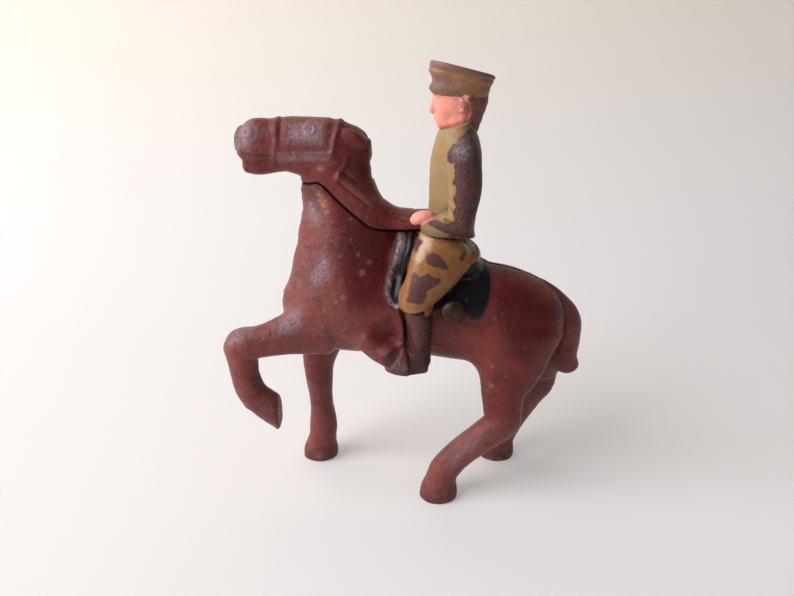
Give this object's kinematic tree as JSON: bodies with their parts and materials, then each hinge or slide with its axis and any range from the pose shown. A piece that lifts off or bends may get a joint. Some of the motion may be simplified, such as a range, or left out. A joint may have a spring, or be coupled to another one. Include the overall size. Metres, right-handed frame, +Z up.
{
  "type": "toy rider on horse",
  "caption": "Painted cast-iron toy figure of a uniformed rider on a stepping horse, made of riveted hollow half castings; it stands free on its hooves.",
  "frame": {"origin": "middle of the base, on the ground between the hooves", "axes": "+Z up, the horse looks along -X, its left side faces -Y"},
  "size_m": [0.0694, 0.022, 0.0844],
  "materials": {
    "left_casting_enamel": "worn semi-gloss oxblood enamel over dark iron, with khaki breeches, brown boot and black saddle cloth",
    "right_casting_enamel": "worn semi-gloss enamel over dark iron: oxblood horse, khaki uniform and cap, salmon face and hands",
    "rivet_iron": "dark worn iron with thin remains of black paint"
  },
  "bodies": {
    "root": {"left_half_casting": "left_casting_enamel", "right_half_casting": "right_casting_enamel", "rivet": "rivet_iron"}
  },
  "joints": []
}
